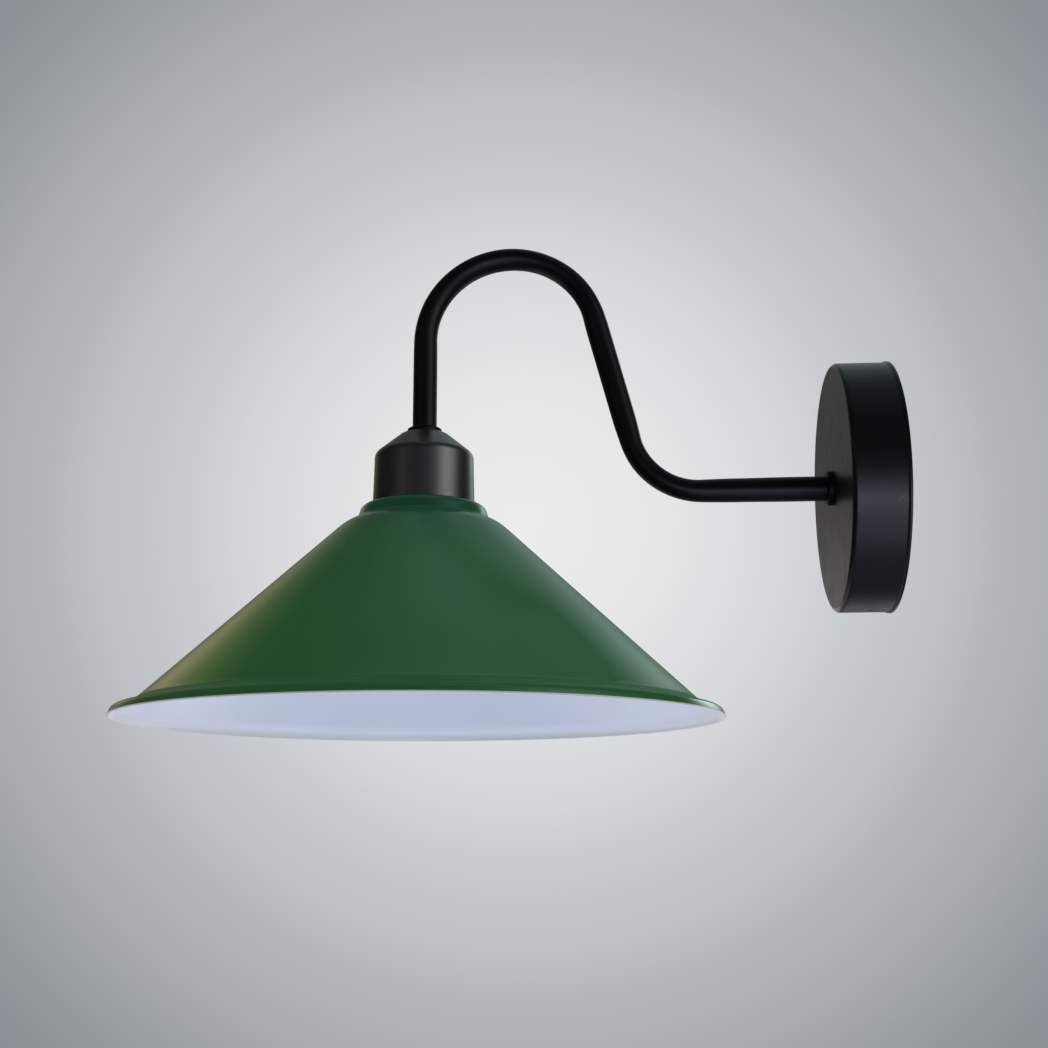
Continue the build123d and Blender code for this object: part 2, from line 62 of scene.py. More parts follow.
class Mat:
    """A Principled material with small helpers for its procedural parts."""

    def __init__(self, name, base, rough=0.5, metal=0.0, spec=0.5, coat=0.0, coat_rough=0.05, ior=1.5, sheen=0.0):
        self.m = bpy.data.materials.new(name)
        self.m.use_nodes = True
        self.t = self.m.node_tree
        self.n = self.t.nodes
        self.l = self.t.links
        self.b = self.n["Principled BSDF"]
        self.b.inputs["Base Color"].default_value = base
        self.b.inputs["Roughness"].default_value = rough
        self.b.inputs["Metallic"].default_value = metal
        self.b.inputs["Specular IOR Level"].default_value = spec
        self.b.inputs["Coat Weight"].default_value = coat
        self.b.inputs["Coat Roughness"].default_value = coat_rough
        self.b.inputs["IOR"].default_value = ior
        self.b.inputs["Sheen Weight"].default_value = sheen
        self.co = None
        self.height = None
        self.base = base
        self.rough = rough

    def coords(self):
        if self.co is None:
            self.co = self.n.new("ShaderNodeTexCoord").outputs["Object"]
        return self.co

    def noise(self, scale, detail=3.0, rough=0.5, distort=0.0, coords=None):
        t = self.n.new("ShaderNodeTexNoise")
        t.inputs["Scale"].default_value = scale
        t.inputs["Detail"].default_value = detail
        t.inputs["Roughness"].default_value = rough
        t.inputs["Distortion"].default_value = distort
        self.l.new(coords or self.coords(), t.inputs["Vector"])
        return t.outputs["Fac"]

    def stretched(self, sx, sy, sz):
        p = self.n.new("ShaderNodeMapping")
        p.inputs["Scale"].default_value = (sx, sy, sz)
        self.l.new(self.coords(), p.inputs["Vector"])
        return p.outputs["Vector"]

    def math(self, op, a, b=None, c=None, clamp=False):
        m = self.n.new("ShaderNodeMath")
        m.operation = op
        m.use_clamp = clamp
        for i, v in enumerate((a, b, c)):
            if v is None:
                continue
            if isinstance(v, (int, float)):
                m.inputs[i].default_value = v
            else:
                self.l.new(v, m.inputs[i])
        return m.outputs[0]

    def ramp(self, value, lo, hi, out_lo=0.0, out_hi=1.0, smooth=True):
        r = self.n.new("ShaderNodeMapRange")
        r.interpolation_type = "SMOOTHSTEP" if smooth else "LINEAR"
        r.inputs["From Min"].default_value = lo
        r.inputs["From Max"].default_value = hi
        r.inputs["To Min"].default_value = out_lo
        r.inputs["To Max"].default_value = out_hi
        self.l.new(value, r.inputs["Value"])
        return r.outputs["Result"]

    def xyz(self):
        s = self.n.new("ShaderNodeSeparateXYZ")
        self.l.new(self.coords(), s.inputs[0])
        return s.outputs

    def mix(self, fac, a, b):
        """a and b are colours or colour sockets."""
        m = self.n.new("ShaderNodeMix")
        m.data_type = "RGBA"
        self.l.new(fac, m.inputs["Factor"])
        for name, v in (("A", a), ("B", b)):
            s = [i for i in m.inputs if i.name == name and i.type == "RGBA"][0]
            if isinstance(v, tuple):
                s.default_value = v
            else:
                self.l.new(v, s)
        return [o for o in m.outputs if o.type == "RGBA"][0]

    def color(self, socket):
        self.l.new(socket, self.b.inputs["Base Color"])

    def roughness(self, socket):
        self.l.new(socket, self.b.inputs["Roughness"])

    def bump(self, height, strength, distance):
        """distance in metres."""
        b = self.n.new("ShaderNodeBump")
        b.inputs["Strength"].default_value = strength
        b.inputs["Distance"].default_value = distance
        self.l.new(height, b.inputs["Height"])
        if self.height is not None:
            self.l.new(self.height, b.inputs["Normal"])
        self.height = b.outputs["Normal"]
        self.l.new(self.height, self.b.inputs["Normal"])

    def mottle(self, amount, scale=40.0):
        """Colour that drifts a little over the surface."""
        f = self.ramp(self.noise(scale, 4.0), 0.3, 0.7)
        dark = tuple(c * (1 - amount) for c in self.base[:3]) + (1.0,)
        light = tuple(min(1.0, c * (1 + amount)) for c in self.base[:3]) + (1.0,)
        self.tone = self.mix(f, dark, light)
        self.color(self.tone)

    def scuffs(self, marks, pale):
        """Small rubbed spots in the coat: each (centre, half sizes along x, y, z) in metres."""
        streaks = self.ramp(self.noise(2600.0, 2.0, 0.6, coords=self.stretched(0.45, 1.0, 1.6)), 0.48, 0.66)
        for centre, half in marks:
            off = self.n.new("ShaderNodeVectorMath")
            off.operation = "SUBTRACT"
            self.l.new(self.coords(), off.inputs[0])
            off.inputs[1].default_value = centre
            rel = self.n.new("ShaderNodeVectorMath")
            rel.operation = "DIVIDE"
            self.l.new(off.outputs[0], rel.inputs[0])
            rel.inputs[1].default_value = half
            far = self.n.new("ShaderNodeVectorMath")
            far.operation = "LENGTH"
            self.l.new(rel.outputs[0], far.inputs[0])
            inside = self.ramp(far.outputs["Value"], 0.35, 1.0, 1.0, 0.0)
            self.tone = self.mix(self.math("MULTIPLY", inside, streaks), self.tone, pale)
        self.color(self.tone)

    def uneven(self, amount, scale=60.0):
        """Roughness that drifts a little over the surface."""
        f = self.noise(scale, 3.0)
        self.roughness(self.ramp(f, 0.3, 0.7, self.rough - amount, self.rough + amount))


# ------------------------------------------------------------------ materials
def powder_coat(name, base, rough, ior=1.3, grain=0.5, marks=()):
    m = Mat(name, base, rough, ior=ior)
    m.mottle(0.08, 30.0)
    if marks:
        m.scuffs(marks, (0.11, 0.11, 0.12, 1))
    m.uneven(0.02, 90.0)
    m.bump(m.noise(1400.0, 2.0, 0.55), 0.10 * grain, 0.00006)
    m.bump(m.noise(320.0, 2.0, 0.5), 0.14 * grain, 0.00012)
    return m.m


def metal(name, base, rough, scratch=0.08, along=(1.0, 1.0, 1.0), stain=None, metal=0.7):
    m = Mat(name, base, rough, metal=metal)
    f = m.ramp(m.noise(60.0, 3.0, 0.5), 0.3, 0.75)
    dark = tuple(c * 0.88 for c in base[:3]) + (1.0,)
    m.color(m.mix(f, base, stain or dark))
    m.roughness(m.ramp(m.noise(160.0, 3.0, 0.5, coords=m.stretched(*along)), 0.3, 0.7, rough - 0.04, rough + 0.05))
    m.bump(m.noise(400.0, 2.0, 0.5, coords=m.stretched(*along)), scratch, 0.00003)
    return m.m


def plastic(name, base, rough, spec=0.5, grain=0.3, scale=900.0):
    m = Mat(name, base, rough, spec=spec)
    m.mottle(0.05, 60.0)
    m.uneven(0.04, 150.0)
    m.bump(m.noise(scale, 3.0, 0.5), grain, 0.00004)
    return m.m


def enamel(name, base, rough, coat, amount=0.04, spec=0.5, coat_rough=0.08):
    """Fired enamel: colour with a faint cloudiness, an orange-peel surface and a slow waviness of the sheet."""
    m = Mat(name, base, rough, spec=spec, coat=coat, coat_rough=coat_rough)
    m.mottle(amount, 18.0)
    m.bump(m.noise(260.0, 2.0, 0.45), 0.10, 0.00012)
    m.bump(m.noise(26.0, 2.0, 0.4), 0.12, 0.0009)
    return m


M = {}
M["canopy_black"] = powder_coat("canopy_black", (0.0055, 0.0055, 0.0058, 1), 0.31, ior=1.29, grain=0.5, marks=(
    ((-0.0038, -0.0570, -0.0185), (0.0030, 0.0060, 0.0030)), ((-0.0240, -0.0540, -0.0240), (0.0010, 0.0060, 0.0006))))
M["cup_black"] = powder_coat("cup_black", (0.0040, 0.0040, 0.0040, 1), 0.34, ior=1.80, grain=0.35)
M["tube_black"] = powder_coat("tube_black", (0.0040, 0.0040, 0.0046, 1), 0.38, ior=1.22, grain=0.35)
M["collar_black"] = powder_coat("collar_black", (0.0030, 0.0030, 0.0034, 1), 0.42, ior=1.22, grain=0.25)
M["screw_black"] = metal("screw_black", (0.035, 0.034, 0.034, 1), 0.38, 0.06)
M["zinc"] = metal("zinc", (0.44, 0.45, 0.46, 1), 0.42, 0.08, (0.25, 1.0, 1.0), stain=(0.38, 0.39, 0.39, 1), metal=0.6)
M["zinc_small"] = metal("zinc_small", (0.66, 0.66, 0.66, 1), 0.28, 0.06, stain=(0.56, 0.55, 0.50, 1))
M["tinned"] = metal("tinned", (0.72, 0.71, 0.68, 1), 0.32, 0.06, stain=(0.62, 0.61, 0.58, 1))
M["brass"] = metal("brass", (0.74, 0.52, 0.22, 1), 0.30, 0.06, stain=(0.64, 0.43, 0.17, 1))
M["brass_shell"] = metal("brass_shell", (0.74, 0.52, 0.22, 1), 0.34, 0.0, stain=(0.64, 0.43, 0.17, 1))
M["brass_contact"] = metal("brass_contact", (0.78, 0.58, 0.28, 1), 0.26, 0.05, stain=(0.68, 0.49, 0.22, 1))
M["spring"] = metal("spring", (0.52, 0.51, 0.50, 1), 0.28, 0.05)
M["block_white"] = plastic("block_white", (0.80, 0.79, 0.75, 1), 0.45, grain=0.25)
M["black_thermoset"] = plastic("black_thermoset", (0.014, 0.014, 0.015, 1), 0.30, grain=0.22, scale=600.0)
M["ring_black"] = plastic("ring_black", (0.016, 0.016, 0.017, 1), 0.34, grain=0.22, scale=600.0)

ceramic = Mat("ceramic", (0.84, 0.82, 0.76, 1), 0.20, coat=0.5, coat_rough=0.06)
ceramic.mottle(0.04, 120.0)
ceramic.bump(ceramic.noise(500.0, 3.0), 0.15, 0.00006)
M["ceramic"] = ceramic.m


def insulation(name, base):
    m = Mat(name, base, 0.42)
    m.mottle(0.06, 90.0)
    m.bump(m.noise(700.0, 2.0), 0.12, 0.00004)
    return m.m


M["brown_wire"] = insulation("brown_wire", (0.105, 0.036, 0.016, 1))
M["blue_wire"] = insulation("blue_wire", (0.018, 0.085, 0.36, 1))
gy = Mat("green_yellow_wire", (0.06, 0.33, 0.07, 1), 0.42)
gx = gy.xyz()
band = gy.math("SINE", gy.math("ADD", gy.math("MULTIPLY", gx[0], 900.0), gy.math("MULTIPLY", gy.math("ADD", gx[1], gx[2]), 2300.0)))
gy.color(gy.mix(gy.ramp(band, -0.15, 0.15), (0.05, 0.30, 0.07, 1), (0.72, 0.58, 0.03, 1)))
gy.bump(gy.noise(700.0, 2.0), 0.12, 0.00004)
M["green_yellow_wire"] = gy.m

green = enamel("enamel_green", (0.0070, 0.1420, 0.0320, 1), 0.24, 0.0, 0.04)
# painted reflection and shade: the neck and the top of the cone, fully above z -10 mm and fading out by -40 mm, are
# tinted a darker teal in place of the teal light they mirror
green.color(green.mix(green.ramp(green.xyz()[2], -0.040, -0.010), green.tone, (0.0095, 0.1180, 0.0500, 1)))
M["enamel_green"] = green.m
# painted sheen: the lip's curl is a lighter, yellower copy of the shade's green, standing in for the warm light it
# mirrors; its coat gives the highlight at the right end
lip = enamel("enamel_green_lip_painted_sheen", (0.0240, 0.1580, 0.0360, 1), 0.24, 0.8, 0.04, coat_rough=0.18)
M["enamel_green_lip_painted_sheen"] = lip.m
# the lip's top: colour partway between the shade's green and the lip's painted sheen, with a lower specular level to
# soften the line of light along the crease
crease = enamel("enamel_green_crease_painted_sheen", (0.0130, 0.1410, 0.0370, 1), 0.42, 0.0, 0.04, spec=0.16)
M["enamel_green_crease_painted_sheen"] = crease.m
white = enamel("enamel_white", (0.755, 0.755, 0.755, 1), 0.40, 0.20, 0.015, coat_rough=0.25)
white.color(white.mix(white.ramp(white.xyz()[2], -0.1050, -0.1088), white.tone, (0.765, 0.750, 0.640, 1)))  # creamier towards the bottom edge of the rim
M["enamel_white"] = white.m

NODE_MATERIAL = {
    "canopy": "canopy_black", "canopy_side_screws": "screw_black", "mounting_plate": "zinc",
    "terminal_block": "block_white", "terminal_inserts": "brass", "terminal_clamp_screws": "zinc_small",
    "terminal_block_screws": "zinc_small", "earth_ring_terminal": "tinned", "earth_screw": "zinc_small",
    "wall_end_collar": "collar_black", "wall_end_nipple": "zinc_small", "wall_end_lock_washer": "zinc_small",
    "wall_end_nut": "zinc_small", "lamp_end_collar": "collar_black", "lamp_end_nipple": "zinc_small",
    "lamp_end_lock_washer": "zinc_small", "lamp_end_nut": "zinc_small", "lampholder_cup": "cup_black",
    "lampholder_cap": "black_thermoset", "cap_locking_screw": "zinc_small", "lampholder_insulator": "ceramic",
    "shell_rivets": "brass", "centre_contact": "brass_contact", "live_terminal": "brass",
    "neutral_terminal": "brass", "holder_terminal_screws": "zinc_small", "shade_ring": "ring_black",
    "live_wire": "brown_wire", "neutral_wire": "blue_wire", "earth_wire": "green_yellow_wire",
    "gooseneck_tube": "tube_black", "lampholder_body": "black_thermoset", "screw_shell": "brass",
    "contact_spring": "spring", "shade": "enamel_green",
}
for name, obj in NODES.items():
    mat = M[NODE_MATERIAL[name]]
    if not obj.material_slots:
        obj.data.materials.append(mat)
    for s in obj.material_slots:
        s.link = "OBJECT"
        s.material = mat


# ------------------------------------------------------------------ mesh helpers
def mesh_object(name, verts, faces, mats, index=None, smooth=True, sharp=None):
    """verts in millimetres in the row frame."""
    me = bpy.data.meshes.new(name)
    me.from_pydata([tuple(v) for v in (np.asarray(verts, float) * MM)], [], [tuple(int(i) for i in f) for f in faces])
    for m in mats:
        me.materials.append(M[m])
    if index is not None:
        me.polygons.foreach_set("material_index", np.asarray(index, dtype=np.int32))
    me.polygons.foreach_set("use_smooth", [smooth] * len(me.polygons))
    me.validate()
    me.update()
    if sharp is not None:
        me.set_sharp_from_angle(angle=math.radians(sharp))
    ob = bpy.data.objects.new(name, me)
    bpy.context.collection.objects.link(ob)
    return ob


def unit(a, b):
    d = math.hypot(b[0] - a[0], b[1] - a[1])
    return ((b[0] - a[0]) / d, (b[1] - a[1]) / d)


def rounded(pts, step=0.6, tags=None):
    """(r, z[, fillet]) outline as a polyline with its corners rounded. Also each point's tag, which is that of the stretch that ends there."""
    out, tag = [], []
    n = len(pts)
    for i, p in enumerate(pts):
        t = tags[i] if tags else 0
        r = p[2] if len(p) > 2 else 0
        if r <= 0 or i in (0, n - 1):
            out.append(p[:2]); tag.append(t)
            continue
        a, b = pts[i - 1], pts[i + 1]
        u, v = unit(p, a), unit(p, b)
        half = math.acos(max(-1, min(1, u[0] * v[0] + u[1] * v[1]))) / 2
        back = r / math.tan(half)
        bis = (u[0] + v[0], u[1] + v[1])
        bl = math.hypot(*bis)
        c = (p[0] + bis[0] / bl * r / math.sin(half), p[1] + bis[1] / bl * r / math.sin(half))
        p0 = (p[0] + u[0] * back, p[1] + u[1] * back)
        p1 = (p[0] + v[0] * back, p[1] + v[1] * back)
        a0 = math.atan2(p0[1] - c[1], p0[0] - c[0])
        a1 = math.atan2(p1[1] - c[1], p1[0] - c[0])
        d = (a1 - a0 + math.pi) % (2 * math.pi) - math.pi
        k = max(3, int(abs(d) * r / step), int(abs(d) / 0.09))
        for j in range(k + 1):
            a_ = a0 + d * j / k
            out.append((c[0] + r * math.cos(a_), c[1] + r * math.sin(a_))); tag.append(t)
    return out, tag


def fill(line, tag, longest):
    """Extra points so that no stretch of the polyline is longer than that."""
    out, tg = [line[0]], [tag[0]]
    for i in range(1, len(line)):
        a, b = line[i - 1], line[i]
        k = max(1, int(math.ceil(math.hypot(b[0] - a[0], b[1] - a[1]) / longest)))
        for j in range(1, k + 1):
            out.append((a[0] + (b[0] - a[0]) * j / k, a[1] + (b[1] - a[1]) * j / k)); tg.append(tag[i])
    return out, tg


def parallel(pts, t):
    """Open outline offset to its right-hand side by t, with matching fillets."""
    out = []
    n = len(pts)
    for i, p in enumerate(pts):
        if i in (0, n - 1):
            d = unit(pts[0], pts[1]) if i == 0 else unit(pts[-2], pts[-1])
            out.append((p[0] + d[1] * t, p[1] - d[0] * t))
            continue
        d1, d2 = unit(pts[i - 1], p), unit(p, pts[i + 1])
        n1, n2 = (d1[1], -d1[0]), (d2[1], -d2[0])
        k = 1 + n1[0] * n2[0] + n1[1] * n2[1]
        x = p[0] + t * (n1[0] + n2[0]) / k
        z = p[1] + t * (n1[1] + n2[1]) / k
        turn = d1[0] * d2[1] - d1[1] * d2[0]
        r = p[2] if len(p) > 2 else 0
        if r:
            r = r - t if turn < 0 else r + t
        out.append((x, z, max(r, 0.05)) if r else (x, z))
    return out


def turned(name, line, tag, mats, segments, shape=None, closed=True, sharp=None):
    """A closed outline turned about the lamp axis. shape(r, z, angle) may move a point in or out."""
    ang = np.linspace(0, 2 * math.pi, segments, endpoint=False)
    L = len(line)
    r = np.array([p[0] for p in line]); z = np.array([p[1] for p in line])
    R = np.repeat(r[:, None], segments, 1); Z = np.repeat(z[:, None], segments, 1)
    T = np.repeat(ang[None, :], L, 0)
    if shape is not None:
        R = shape(R, Z, T)
    V = np.stack([LEG_X + R * np.cos(T), R * np.sin(T), Z], -1).reshape(-1, 3)
    faces, idx = [], []
    for i in range(L if closed else L - 1):
        j = (i + 1) % L
        for k in range(segments):
            m = (k + 1) % segments
            faces.append((i * segments + k, j * segments + k, j * segments + m, i * segments + m))
            idx.append(tag[j])
    return mesh_object(name, V, faces, mats, idx, sharp=sharp)


def outward(ob):
    """All faces point out."""
    import bmesh
    bm = bmesh.new()
    bm.from_mesh(ob.data)
    bmesh.ops.recalc_face_normals(bm, faces=bm.faces)
    bm.to_mesh(ob.data)
    bm.free()


# ------------------------------------------------------------------ shade
SHADE_T = 1.2
shade_out = [
    (20.2, -5.7), (30.2, -5.7, 4.0), (32.2, -12.6, 1.6), (38.5, -15.2, 26.0),
    (133.6, -104.26, 16.0), (142.2, -106.2, 3.2), (143.5, -109.5),
]
shade_in = parallel(shade_out, SHADE_T)
for corner, fillet in ((4, 15.0), (5, 5.0)):  # the white side runs out into the lip and the rim in a soft curve
    shade_in[corner] = shade_in[corner][:2] + (fillet,)
out_line, out_tag = rounded(shade_out, 0.8)
# outer faces below z -107 mm take the lip's painted-sheen colour (tag 1), those from -102.8 to -107 mm the crease
# colour partway to it (tag 3), the rest the plain green (tag 0)
out_tag = [1 if z < -107.0 else 3 if z < -102.8 else 0 for r, z in out_line]
in_line, in_tag = rounded(list(reversed(shade_in)), 0.8, [2] * len(shade_in))
o_end, i_end = out_line[-1], in_line[0]
mid = ((o_end[0] + i_end[0]) / 2, (o_end[1] + i_end[1]) / 2)
d_end = unit(shade_out[-2], shade_out[-1])
a_out = math.atan2(o_end[1] - mid[1], o_end[0] - mid[0])
bead = []
for k in range(1, 12):
    a = a_out - math.pi * k / 12
    bead.append((mid[0] + SHADE_T / 2 * math.cos(a), mid[1] + SHADE_T / 2 * math.sin(a)))
line = out_line + bead + in_line
tags = out_tag + [2] * len(bead) + in_tag
tags[len(out_line)] = 2
line, tags = fill(line, tags, 2.5)
shade = turned("shade_enamel", line, tags, ["enamel_green", "enamel_green_lip_painted_sheen", "enamel_white", "enamel_green_crease_painted_sheen"], 320, sharp=50)
outward(shade)
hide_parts("shade")
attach(shade, "shade")

# ------------------------------------------------------------------ arm tube
ARCH_R, ARCH_Z, SLANT, LOW_R = 43.2, 79.7, math.radians(14.7), 35.2
TUBE_Z, TUBE_X = 34.2, -28.9
C1 = (LEG_X + ARCH_R, ARCH_Z)
nx, nz = math.cos(SLANT), math.sin(SLANT)
A = (C1[0] + ARCH_R * nx, C1[1] + ARCH_R * nz)
s_len = (A[1] + LOW_R * nz - LOW_R) / math.cos(SLANT)
B = (A[0] + s_len * math.sin(SLANT), A[1] - s_len * math.cos(SLANT))
C2 = (B[0] + LOW_R * nx, B[1] + LOW_R * nz)
L1 = ARCH_Z - TUBE_Z
L2 = (math.pi - SLANT) * ARCH_R
L3 = s_len
L4 = (math.pi / 2 - SLANT) * LOW_R
L5 = TUBE_X - C2[0]


def arm_point(s):
    """Point and direction of the arm's centreline, s millimetres from the lamp end."""
    if s <= L1:
        return (LEG_X, TUBE_Z + s), (0.0, 1.0)
    s -= L1
    if s <= L2:
        a = math.pi - s / ARCH_R
        return (C1[0] + ARCH_R * math.cos(a), C1[1] + ARCH_R * math.sin(a)), (math.sin(a), -math.cos(a))
    s -= L2
    if s <= L3:
        return (A[0] + s * math.sin(SLANT), A[1] - s * math.cos(SLANT)), (math.sin(SLANT), -math.cos(SLANT))
    s -= L3
    if s <= L4:
        a = math.pi + SLANT + s / LOW_R
        return (C2[0] + LOW_R * math.cos(a), C2[1] + LOW_R * math.sin(a)), (-math.sin(a), math.cos(a))
    s -= L4
    return (C2[0] + s, C2[1] - LOW_R), (1.0, 0.0)


ARM = L1 + L2 + L3 + L4 + L5
# the tube was flattened a little where it was bent: half of its width in the plane of the bends
FLAT_S = [0, L1 - 8, L1 + 14, L1 + L2 * 0.5, L1 + L2 * 0.72, L1 + L2 - 10, L1 + L2 + 8, L1 + L2 + L3 - 12,
          L1 + L2 + L3 + 6, L1 + L2 + L3 + L4 * 0.62, L1 + L2 + L3 + L4 + 16, ARM - 16, ARM]
FLAT_B = [6.0, 5.97, 5.65, 5.5, 5.2, 5.25, 5.75, 5.75, 5.15, 5.1, 5.8, 6.0, 6.0]


def half_width(s):
    for i in range(1, len(FLAT_S)):
        if s <= FLAT_S[i]:
            t = (s - FLAT_S[i - 1]) / (FLAT_S[i] - FLAT_S[i - 1])
            t = t * t * (3 - 2 * t)
            return FLAT_B[i - 1] + (FLAT_B[i] - FLAT_B[i - 1]) * t
    return FLAT_B[-1]


AROUND = 72
stations = sorted(set([0.0, 10.9, 11.0, ARM - 11.0, ARM - 10.9, ARM] + list(np.arange(1.5, ARM - 1.4, 1.5))))
verts, faces = [], []


def ring_at(s, r, cap=0.0):
    (x, z), (tx, tz) = arm_point(s)
    squash = half_width(s) / 6.0
    b = r * squash
    c = r * (1 + 0.25 * (1 - squash))
    start = len(verts)
    for k in range(AROUND):
        a = 2 * math.pi * k / AROUND
        u, w = b * math.cos(a), c * math.sin(a)
        verts.append((x - tz * u, w, z + tx * u))
    return start


loops = [ring_at(s, 6.0) for s in stations]
for s in reversed(stations):
    loops.append(ring_at(s, 5.0 if s <= 10.95 or s >= ARM - 10.95 else 4.5))
for i in range(len(loops)):
    j = (i + 1) % len(loops)
    for k in range(AROUND):
        m = (k + 1) % AROUND
        faces.append((loops[i] + k, loops[i] + m, loops[j] + m, loops[j] + k))
tube = mesh_object("arm_tube", verts, faces, ["tube_black"], sharp=60)
outward(tube)
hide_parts("gooseneck_tube")
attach(tube, "fixture")

# ------------------------------------------------------------------ lampholder body, with its outer thread
PITCH_OUT = 2.5
body_line = [(17.2, 5.5), (19.5, 5.5)] + [(19.5, z) for z in np.arange(5.2, -31.7, -0.22)] + [(19.2, -32.4), (18.3, -33.0), (16.8, -33.0), (15.9, -32.6), (15.6, -31.8), (15.6, -5.5), (17.2, -5.5)]


def outer_thread(R, Z, T):
    on = (R > 19.45) & (Z < 5.0)
    fade = np.clip((Z + 32.2) / 1.6, 0, 1) * np.clip((4.9 - Z) / 1.6, 0, 1)
    wave = np.cos(2 * np.pi * Z / PITCH_OUT - T)
    depth = 0.34 * (0.5 - 0.5 * np.clip(wave * 1.35, -1, 1)) * fade
    return np.where(on, R - depth, R)


holder = turned("lampholder_body_threaded", body_line, [0] * len(body_line), ["black_thermoset"], 128, outer_thread, sharp=40)
outward(holder)
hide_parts("lampholder_body")
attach(holder, "fixture")

# ------------------------------------------------------------------ screw shell, with its rounded thread
PITCH_IN = 3.629
zs = list(np.arange(-10.2, -29.9, -0.16))
outer_side = [(9.2, -5.5), (13.3, -5.5), (13.5, -5.62), (13.55, -5.85), (13.55, -9.9)] + [(13.85, z) for z in zs] + [(13.85, -30.0)]
inner_side = [(13.35, -30.0)] + [(13.35, z) for z in reversed(zs)] + [(13.05, -10.0), (13.05, -6.2), (12.95, -5.95), (9.2, -5.95)]
shell_line = outer_side + inner_side


def inner_thread(R, Z, T):
    on = ((np.abs(R - 13.85) < 1e-6) | (np.abs(R - 13.35) < 1e-6)) & (Z < -10.1)
    fade = np.clip((-10.4 - Z) / 2.6, 0, 1) * np.clip((Z + 29.7) / 1.4, 0, 1)
    fade = fade * fade * (3 - 2 * fade)
    wave = np.cos(2 * np.pi * Z / PITCH_IN - T)
    depth = 1.05 * (0.5 - 0.5 * wave) * fade
    return np.where(on, R - depth, R)


shell = turned("screw_shell_threaded", shell_line, [0] * len(shell_line), ["brass_shell"], 160, inner_thread, sharp=80)
outward(shell)
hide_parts("screw_shell")
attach(shell, "fixture")

# ------------------------------------------------------------------ spring behind the centre contact
turns, wire_r, mean_r = 5.0, 0.28, 2.5
top, bottom = -3.85, -7.95
verts, faces = [], []
steps, sides = 200, 10
for i in range(steps + 1):
    t = i / steps
    a = 2 * math.pi * turns * t
    # the end turns lie flat
    e = min(max((t - 0.11) / 0.78, 0.0), 1.0)
    z = top + (bottom - top) * e
    cx, cy = LEG_X + mean_r * math.cos(a), mean_r * math.sin(a)
    for k in range(sides):
        b = 2 * math.pi * k / sides
        rr = wire_r * math.cos(b)
        verts.append((cx + rr * math.cos(a), cy + rr * math.sin(a), z + wire_r * math.sin(b)))
for i in range(steps):
    for k in range(sides):
        m = (k + 1) % sides
        faces.append((i * sides + k, (i + 1) * sides + k, (i + 1) * sides + m, i * sides + m))
faces.append(tuple(range(sides)))
faces.append(tuple(reversed(range(steps * sides, (steps + 1) * sides))))
spring = mesh_object("contact_spring_coil", verts, faces, ["spring"], sharp=60)
outward(spring)
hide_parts("contact_spring")
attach(spring, "fixture")
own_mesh(spring)

# ------------------------------------------------------------------ camera
yaw, pitch, roll = math.radians(-3.65492), math.radians(12.47127), math.radians(-0.20457)
fwd = Vector((math.sin(yaw) * math.cos(pitch), math.cos(yaw) * math.cos(pitch), math.sin(pitch)))
right = Vector((math.cos(yaw), -math.sin(yaw), 0))
up = right.cross(fwd)
r2 = math.cos(roll) * right + math.sin(roll) * up
u2 = -math.sin(roll) * right + math.cos(roll) * up
cam = bpy.data.cameras.new("camera")
cam.sensor_fit = "HORIZONTAL"
cam.sensor_width = 36.0
cam.lens = 48.178
cam.clip_start = 0.01
cam.clip_end = 50.0
cam.dof.use_dof = False
cam_ob = bpy.data.objects.new("camera", cam)
bpy.context.collection.objects.link(cam_ob)
rot = Matrix((r2, u2, -fwd)).transposed().to_4x4()
cam_ob.matrix_world = Matrix.Translation(Vector((-132.565, -666.363, -162.592)) * MM) @ rot
scene.camera = cam_ob

# ------------------------------------------------------------------ studio
world = bpy.data.worlds.new("studio")
scene.world = world
world.use_nodes = True
wt = world.node_tree
wn, wl = wt.nodes, wt.links
wn.clear()
w_out = wn.new("ShaderNodeOutputWorld")
coord = wn.new("ShaderNodeTexCoord").outputs["Generated"]


def w_dot(v):
    d = wn.new("ShaderNodeVectorMath")
    d.operation = "DOT_PRODUCT"
    wl.new(coord, d.inputs[0])
    d.inputs[1].default_value = tuple(v)
    return d.outputs["Value"]


def w_math(op, a, b=None, clamp=False):
    m = wn.new("ShaderNodeMath")
    m.operation = op
    m.use_clamp = clamp
    for i, v in enumerate((a, b)):
        if v is None:
            continue
        if isinstance(v, (int, float)):
            m.inputs[i].default_value = v
        else:
            wl.new(v, m.inputs[i])
    return m.outputs[0]


def w_light(color, strength=1.0):
    b = wn.new("ShaderNodeBackground")
    wl.new(color, b.inputs["Color"])
    b.inputs["Strength"].default_value = strength
    return b.outputs[0]


# backdrop that the camera sees: pale grey, lightest behind the object, darker outwards
away = w_math("ARCCOSINE", w_math("MINIMUM", w_dot(fwd), 0.999999))
back = wn.new("ShaderNodeValToRGB")
wl.new(w_math("DIVIDE", away, math.radians(27.87)), back.inputs["Fac"])
cr = back.color_ramp
cr.interpolation = "CARDINAL"
cr.elements[0].position = 0.0
cr.elements[0].color = srgb(236, 236, 236)
cr.elements[1].position = 1.0
cr.elements[1].color = srgb(139, 144, 150)
for px, col in ((150, (228, 228, 229)), (300, (208, 210, 213)), (450, (185, 188, 192)), (600, (162, 166, 171))):
    e = cr.elements.new(math.degrees(math.atan(px / 1403.0)) / 27.87)
    e.color = srgb(*col)

# soft light for matt surfaces: a polynomial of the direction, a little cooler from below, brighter from behind
SOFT = [
    (0.694, 0.716, 0.822),
    (0.103, 0.108, 0.100),
    (0.521, 0.499, 0.558),
    (-0.114, -0.170, -0.372),
    (0.095, 0.084, 0.102),
    (0.170, 0.173, 0.200),
    (-0.040, -0.035, -0.134),
    (-0.071, -0.045, -0.075),
    (0.129, 0.147, 0.216),
]
